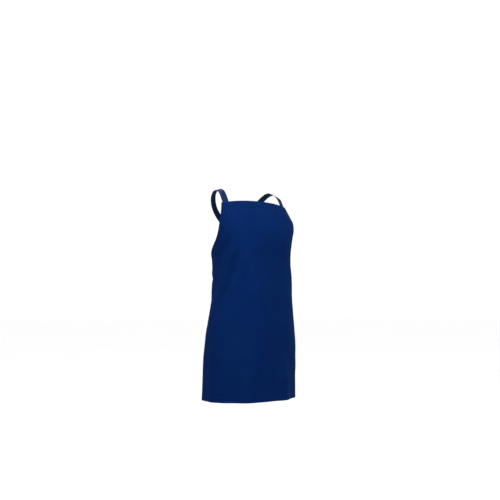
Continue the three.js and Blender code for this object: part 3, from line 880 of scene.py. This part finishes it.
def ring_frame(side):
    """Middle of a ring, with the directions up its strap, outward and across."""
    at_s, at_z = side * RING_AT[0], RING_AT[1]
    normal = surface_normal(at_s, at_z)
    centre = surface(at_s, at_z) + normal * RING_LIFT
    run = unit(crossing(-side, CROSS_REACH) - centre)
    out = unit(normal - run * normal.dot(run))
    return {"centre": centre, "run": run, "out": out, "across": np.cross(run, out)}


def in_frame(at, along, out):
    return at["centre"] + at["run"] * along + at["out"] * out


def shoulder_strap(name, side):
    """From inside the bib over the shoulder, across the back and round the other ring."""
    top = crown(STRAP_AT)
    sewn = top - np.array([STRAP_SEWN, STRAP_SEWN * 0.66, STRAP_SEWN * 0.33, 4])
    points, normals = cloth(side * STRAP_AT, sewn, STRAP_LIFT)
    mirror = np.array([side, 1, 1])
    over = [
        ((130, -46, -22), (0.25, -0.62, 0.74)),
        ((SHOULDER_X, -18, -4), (0.3, -0.22, 0.93)),
        ((SHOULDER_X, 0, WEB / 2), (0.3, 0, 0.95)),
        ((121, 22, -4), (0.32, 0.35, 0.88)),
        ((112, 50, -24), (0.33, 0.72, 0.6)),
        ((90, 74, -61), (0.28, 0.9, 0.32)),
        ((55, 85, -102), (0.12, 0.98, 0.12)),
    ]
    points = [*points, *(np.array(p) * mirror for p, _ in over)]
    normals = [*normals, *(unit(np.array(n) * mirror) for _, n in over)]
    for along in (-CROSS_REACH, 0, CROSS_REACH):
        points.append(crossing(side, along))
        normals.append(np.array([0, 1, 0]))
    at = ring_frame(-side)
    bar = RING_PITCH / 2
    reach = np.linalg.norm(points[-1] - at["centre"])
    for share in (0.86, 0.6, 0.35, 0.1):
        points.append(in_frame(at, bar + (reach - bar) * share, BAR_TURN))
        normals.append(at["out"])
    path, facing = smooth_path(points, normals, 2.5)
    round_points, round_normals = turn(in_frame(at, bar, 0), -at["run"], at["out"], BAR_TURN)
    path = np.concatenate([path, round_points])
    facing = np.concatenate([facing, round_normals])
    thing = webbing(f"shoulder_webbing_{name}", path, facing, 2.5)
    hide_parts(f"shoulder_strap_{name}")
    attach(thing, "apron")


def slider_levels():
    """Levels of the strap's return before and after the slider's middle bar."""
    low = -WEB * 1.5 - 2 * SLIDER_GAP - SLIDER_BAR
    return -WEB - SLIDER_GAP, low - SLIDER_GAP - WEB / 2


def strap_return(name, side):
    """From the ring's bar back up behind the strap and round the slider's middle bar."""
    at = ring_frame(side)
    bar = RING_PITCH / 2
    outer, inner = slider_levels()
    centre = in_frame(at, SLIDER_AT, BAR_TURN)
    slide = {**at, "centre": centre}
    points = [in_frame(at, bar + along, -BAR_TURN) for along in (0, 6)]
    points += [in_frame(at, bar + along, -BAR_TURN + 0.6) for along in (14, 22)]
    points += [in_frame(slide, along, outer - 0.05) for along in (-12, -5)]
    path, facing = smooth_path(points, [-at["out"]] * len(points), 2.0)
    middle = in_frame(slide, 3.4, (outer + inner) / 2)
    round_points, round_normals = turn(middle, at["run"], at["out"], (outer - inner) / 2)
    leg = ((-3, 0.0), (-13, -0.2), (-21, -0.3))
    end = np.array([in_frame(slide, along, inner + drop) for along, drop in leg])
    path = np.concatenate([path, round_points, end])
    facing = np.concatenate([facing, -round_normals, np.tile(at["out"], (3, 1))])
    thing = webbing(f"strap_return_{name}", path, facing, 1.5)
    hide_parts(f"strap_end_{name}")
    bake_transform(thing)


def ring(name, side):
    """Bent wire ring with its butt weld on the lower bar."""
    at = ring_frame(side)
    corner = 2.6
    wide = RING_SLOT / 2 + RING_BAR / 2 - corner
    tall = RING_PITCH / 2 - corner
    flat = []
    for cx, cy, first in ((wide, -tall, -90), (wide, tall, 0), (-wide, tall, 90), (-wide, -tall, 180)):
        for degrees in np.linspace(first, first + 90, 9):
            angle = math.radians(degrees)
            flat.append((cx + corner * math.cos(angle), cy + corner * math.sin(angle)))
    flat = np.array(flat)
    closed = np.concatenate([flat, flat[:1]])
    lengths = path_lengths(closed)
    places = np.linspace(0, lengths[-1], 121)[:-1]
    u = np.interp(places, lengths, closed[:, 0])
    v = np.interp(places, lengths, closed[:, 1])
    centre = at["centre"] + u[:, None] * at["across"] + v[:, None] * at["run"]
    ahead = unit(np.roll(centre, -1, axis=0) - np.roll(centre, 1, axis=0))
    outward = np.cross(ahead, at["out"])
    around = 14
    weld = places[np.argmin(np.abs(u) + np.where(v < 0, 0, 100))]
    bulge = 1 + 0.07 * np.exp(-(((places - weld) / 1.1) ** 2))
    rings = []
    for k in range(around):
        angle = 2 * math.pi * k / around
        arm = outward * math.cos(angle) + at["out"] * math.sin(angle)
        rings.append(centre + arm * (RING_BAR / 2 * bulge)[:, None])
    points = np.stack(rings, axis=1)
    faces = [(a, d, c, b) for a, b, c, d in grid_faces(len(places), around, closed=True, looped=True)]
    thing = new_object(f"wire_ring_{name}", points, faces, MATERIALS["steel"])
    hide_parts(f"ring_{name}")
    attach(thing, "apron")


def ring_tab(name, side):
    """Webbing sewn to the waist corner and folded round the ring's lower bar."""
    at = ring_frame(side)
    ring_s, ring_z = side * RING_AT[0], RING_AT[1]
    along_s = unit(surface(ring_s + 1, ring_z) - surface(ring_s - 1, ring_z))
    slant = math.atan2(at["run"][2], at["run"].dot(along_s))

    def leg(distances, lift):
        distances = np.array(distances, float)
        s = ring_s - distances * math.cos(slant)
        z = ring_z - distances * math.sin(slant)
        return cloth(s, z, lift)

    inner, inner_normals = leg((46, 38, 30, 22), 2.0)
    outer, outer_normals = leg((20, 28, 36, 44), RING_TAB_LIFT)
    bar = in_frame(at, -RING_PITCH / 2, 0)
    round_points, round_normals = turn(bar, at["run"], at["out"], BAR_TURN)
    points = [*inner, in_frame(at, -RING_PITCH / 2 - 4, -BAR_TURN), *round_points[::-1]]
    normals = [*(-inner_normals), -at["out"], *round_normals[::-1]]
    points += [in_frame(at, -RING_PITCH / 2 - 4, BAR_TURN), *outer]
    normals += [at["out"], *outer_normals]
    path, facing = smooth_path(points, normals, 1.5)
    thing = webbing(f"ring_webbing_{name}", path, facing, 1.5)
    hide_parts(f"ring_tab_{name}")
    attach(thing, "apron")
    across = np.array([-math.sin(slant), math.cos(slant)])
    ahead = np.array([math.cos(slant), math.sin(slant)])
    spots = [
        np.array([ring_s, ring_z]) - ahead * d + across * w
        for d, w in ((24, -9), (41, -9), (41, 9), (24, 9), (24, -9), (41, 9))
    ]
    lines = [on_cloth(line, RING_TAB_LIFT + WEB / 2) for line in (spots, [spots[1], spots[3]])]
    threads = stitching(f"ring_webbing_stitches_{name}", lines)
    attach(threads, "apron")


def moulded(node, name, body, bevel):
    """The CAD's moulding with its edges rounded."""
    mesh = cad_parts[node].data.copy()
    work = bmesh.new()
    work.from_mesh(mesh)
    bmesh.ops.remove_doubles(work, verts=work.verts, dist=1e-5)
    bmesh.ops.dissolve_limit(work, angle_limit=math.radians(3), verts=work.verts, edges=work.edges)
    work.to_mesh(mesh)
    work.free()
    mesh.name = name
    mesh.materials.clear()
    mesh.materials.append(MATERIALS["plastic"])
    mesh.polygons.foreach_set("use_smooth", [True] * len(mesh.polygons))
    thing = linked(name, mesh)
    rounding = thing.modifiers.new("rounding", "BEVEL")
    rounding.width = bevel * MM
    rounding.segments = 3
    rounding.limit_method = "ANGLE"
    rounding.angle_limit = math.radians(28)
    rounding.harden_normals = True
    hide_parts(node)
    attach(thing, body)


def cross_cover():
    """Square of cloth sewn over the crossing, following the two straps beneath it."""
    count = 33
    half = PATCH_SIZE / 2
    p, q = np.meshgrid(*[np.linspace(-half, half, count)] * 2, indexing="ij")
    web_half = WEB_WIDTH / 2
    soft = 3.5
    over_left = ease((web_half + soft - np.abs(q)) / soft)
    over_right = ease((web_half + soft - np.abs(p)) / soft)
    left_top = CROSS_LAYER + WEB / 2
    height = np.maximum(over_left * left_top, over_right * WEB / 2)
    height = height * 0.92 + 0.08 * left_top + TAPE / 2 + 0.35
    rim = ease((np.maximum(np.abs(p), np.abs(q)) - half + 3) / 3)
    height -= 0.9 * rim * (1 - np.maximum(over_left, over_right))
    lefthand = np.array([-1, 0, -1]) / math.sqrt(2)
    righthand = np.array([1, 0, -1]) / math.sqrt(2)
    points = CROSS + p[..., None] * lefthand + q[..., None] * righthand
    points[..., 1] += height
    uv = np.stack([p, q], axis=-1)
    wear = edge_wear(count, count)
    thing = new_object("crossing_cover", points, grid_faces(count, count), MATERIALS["cloth"], uv, wear)
    thicken(thing, TAPE)
    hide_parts("cross_patch")
    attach(thing, "apron")

    def on_cover(flat):
        line = flat_steps(flat, 1)
        i, j = np.round((line + half) / PATCH_SIZE * (count - 1)).astype(int)
        spots = CROSS + line[0][:, None] * lefthand + line[1][:, None] * righthand
        spots[:, 1] += height[i, j] + TAPE / 2
        return spots, np.tile([0.0, 1.0, 0.0], (len(spots), 1))

    edge = half - 3.5
    square = [(-edge, -edge), (edge, -edge), (edge, edge), (-edge, edge), (-edge, -edge)]
    inset = 9
    lines = [on_cover(square), on_cover([(-inset, -inset), (inset, inset)])]
    lines.append(on_cover([(-inset, inset), (inset, -inset)]))
    threads = stitching("crossing_stitches", lines)
    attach(threads, "apron")


cross_cover()
for side_name, way in SIDES:
    shoulder_strap(side_name, way)
    strap_return(side_name, way)
    ring(side_name, way)
    ring_tab(side_name, way)
    moulded(f"slider_{side_name}", f"strap_slide_{side_name}", f"slider_{side_name}", 0.45)


# ---- waist straps and buckle ----

def buckle_point(x, y):
    """Place at the level of the waist straps, y outward from the buckle's middle."""
    return np.array([x, BUCKLE_Y + y, WAIST_STRAP_Z], float)


ALONG = np.array([1.0, 0.0, 0.0])
BACK = np.array([0.0, 1.0, 0.0])


def waist_stretch(side, near):
    """Path inside the panel, round its edge and on through places near the buckle."""
    s = side * np.array([300, 318, 336, 350, 364, 380])
    lift = np.array([WAIST_STRAP_LIFT] * 3 + [WAIST_STRAP_LIFT + 0.3, -1.6, 0.4])
    points, normals = cloth(s, WAIST_STRAP_Z, lift)
    near = [buckle_point(x, y) for x, y in near]
    path, facing = smooth_path([*points, *near], [*normals, *[BACK] * len(near)], 2.5)
    return path, -facing


def waist_strap_right():
    """Runs from the panel to the socket and round its bar, and is sewn to itself."""
    path, facing = waist_stretch(-1, ((-58, -2.6), (-46, -3.2), (-36, -SOCKET_TURN)))
    round_points, round_normals = turn(buckle_point(SOCKET_BAR_X, 0), ALONG, BACK, SOCKET_TURN)
    legs = [(-36, SOCKET_TURN), (-42, 2.0), (-50, -0.9), (-62, -1.1)]
    back_points = [buckle_point(x, y) for x, y in legs]
    back_points, back_normals = smooth_path(back_points, [BACK] * len(legs), 2.0)
    path = np.concatenate([path, round_points[::-1], back_points])
    facing = np.concatenate([facing, round_normals[::-1], back_normals])
    thing = webbing("waist_webbing_right", path, facing, 2.0)
    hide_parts("waist_strap_right")
    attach(thing, "apron")
    lift = -0.9 + WEB / 2
    square = [(-60, -9), (-49, -9), (-49, 9), (-60, 9), (-60, -9), (-49, 9)]
    spots = np.array([buckle_point(x, lift) + np.array([0, 0, z]) for x, z in square])
    lines = [(spots, np.tile(BACK, (len(spots), 1)))]
    threads = stitching("waist_stitches", lines)
    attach(threads, "apron")


def waist_strap_left():
    """Runs from the panel to the plug and round its bar."""
    low = PLUG_BAR_Y - PLUG_TURN
    path, facing = waist_stretch(1, ((66, -3.2), (50, -3.6), (36, low - 0.2), (26, low)))
    round_points, round_normals = turn(buckle_point(PLUG_BAR_X, PLUG_BAR_Y), -ALONG, BACK, PLUG_TURN)
    last = buckle_point(TAIL_START - 0.2, PLUG_BAR_Y + PLUG_TURN)
    path = np.concatenate([path, round_points[::-1], [last]])
    facing = np.concatenate([facing, round_normals[::-1], [BACK]])
    thing = webbing("waist_webbing_left", path, facing, 2.0)
    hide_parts("waist_strap_left", "waist_strap_loop")
    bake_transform(thing)


def waist_tail():
    """Free end past the plug, with its end folded back under once and sewn."""
    level = PLUG_BAR_Y + PLUG_TURN
    share = np.linspace(0, 1, 14)
    x = TAIL_START - 0.2 + TAIL_LENGTH * share
    y = level - 4 * share**2
    points = np.array([buckle_point(a, b) for a, b in zip(x, y)])
    normals = np.tile(BACK, (len(points), 1))
    fold = 0.8
    end = points[-1]
    middle = end - fold * BACK
    round_points, round_normals = turn(middle, ALONG, BACK, fold, 8)
    leg = np.array([middle + np.array([-d, -fold + 0.09 * d, 0]) for d in (3, 14)])
    path = np.concatenate([points, round_points[1:], leg])
    facing = np.concatenate([normals, round_normals[1:], -np.tile(BACK, (2, 1))])
    thing = webbing("waist_tail_webbing", path, facing, 1.6)
    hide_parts("waist_strap_tail")
    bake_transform(thing)
    square = ((4, -10), (4, 10), (11, 10), (11, -10), (4, -10))
    spots = np.array([end + np.array([-d, WEB / 2 + 0.05 + 0.1 * d / 11, w]) for d, w in square])
    threads = stitching("tail_stitches", [(spots, np.tile(BACK, (len(spots), 1)))])
    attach(threads, "waist_tail")


def ribs(name, body, places):
    """Small raised ribs with rounded edges, from their middles and sizes at the buckle."""
    work = bmesh.new()
    for middle, size in places:
        made = bmesh.ops.create_cube(work, size=1)
        for vertex in made["verts"]:
            place = np.array(vertex.co) * size + middle
            vertex.co = (buckle_point(0, 0) + place) * MM
    bmesh.ops.bevel(work, geom=work.edges[:], offset=0.25 * MM, segments=3, affect="EDGES", profile=0.5)
    mesh = bpy.data.meshes.new(name)
    work.to_mesh(mesh)
    work.free()
    mesh.materials.append(MATERIALS["plastic"])
    thing = linked(name, mesh)
    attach(thing, body)


def grip_places(side):
    """Ribs across the finger pad of a latch."""
    on_pad = ((-10.2, 15.65), (-7.8, 16.72), (-5.4, 16.85), (-3.0, 16.15))
    return [((x, 0, side * z), (0.9, 4.0, 0.9)) for x, z in on_pad]


waist_strap_right()
waist_strap_left()
waist_tail()
moulded("buckle_socket", "socket_shell", "apron", 0.7)
moulded("buckle_plug", "plug_frame", "plug", 0.5)
for latch, way in (("upper", 1), ("lower", -1)):
    moulded(f"latch_{latch}", f"latch_arm_{latch}", f"latch_{latch}", 0.4)
    ribs(f"latch_grip_{latch}", f"latch_{latch}", grip_places(way))
socket_ribs = [((-9.5, 4.5, z), (20, 0.8, 1.2)) for z in (-12.5, 12.5)]
socket_ribs += [((x, 4.5, 0), (1.2, 0.8, 26.2)) for x in (-19.5, 0.5)]
socket_ribs += [((x, 4.5, 0), (0.9, 0.7, 15)) for x in (-13, -9.5, -6)]
ribs("socket_rim", "apron", socket_ribs)
ribs("plug_ridge", "plug", [((x, 4.0, 0), (1.0, 0.8, 26)) for x in (7, 10)])


# ---- studio ----

FLOOR_LEVEL = -1430  # about where the wearer's feet would be
FLOOR_RADIUS = 40000
FLOOR_SIDES = 64


def floor():
    """Large plain disc under the apron."""
    points = [(0, 0, FLOOR_LEVEL)]
    for k in range(FLOOR_SIDES):
        angle = 2 * math.pi * k / FLOOR_SIDES
        points.append((FLOOR_RADIUS * math.cos(angle), FLOOR_RADIUS * math.sin(angle), FLOOR_LEVEL))
    faces = [(0, 1 + k, 1 + (k + 1) % FLOOR_SIDES) for k in range(FLOOR_SIDES)]
    thing = new_object("studio_floor", points, faces, MATERIALS["stage"])


def area_light(name, place, aim, size, power):
    data = bpy.data.lights.new(name, "AREA")
    data.shape = "DISK"
    data.size = size
    data.energy = power
    light = linked(name, data)
    light.location = place
    light.rotation_euler = (Vector(aim) - Vector(place)).to_track_quat("-Z", "Y").to_euler()


floor()
area_light("key", (-0.95, -1.48, 1.2), (0, -0.1, -0.3), size=0.8, power=182)
area_light("back", (1.2, 2.2, 1.1), (0, 0.0, -0.35), size=1.8, power=120)

world = bpy.data.worlds.new("studio")
world.use_nodes = True
background = world.node_tree.nodes["Background"]
background.inputs["Color"].default_value = (1, 1, 1, 1)
background.inputs["Strength"].default_value = 1.04
bpy.context.scene.world = world
bpy.context.scene.view_settings.view_transform = "Standard"

CAMERA_AT = Vector((-1.703, -2.470, -0.417))
CAMERA_AIM = Vector((0.0175, -0.0123, -0.2245))
camera_data = bpy.data.cameras.new("camera")
camera_data.lens = 56
camera_data.sensor_width = 36
camera = linked("camera", camera_data)
camera.location = CAMERA_AT
camera.rotation_euler = (CAMERA_AIM - CAMERA_AT).to_track_quat("-Z", "Y").to_euler()
bpy.context.scene.camera = camera
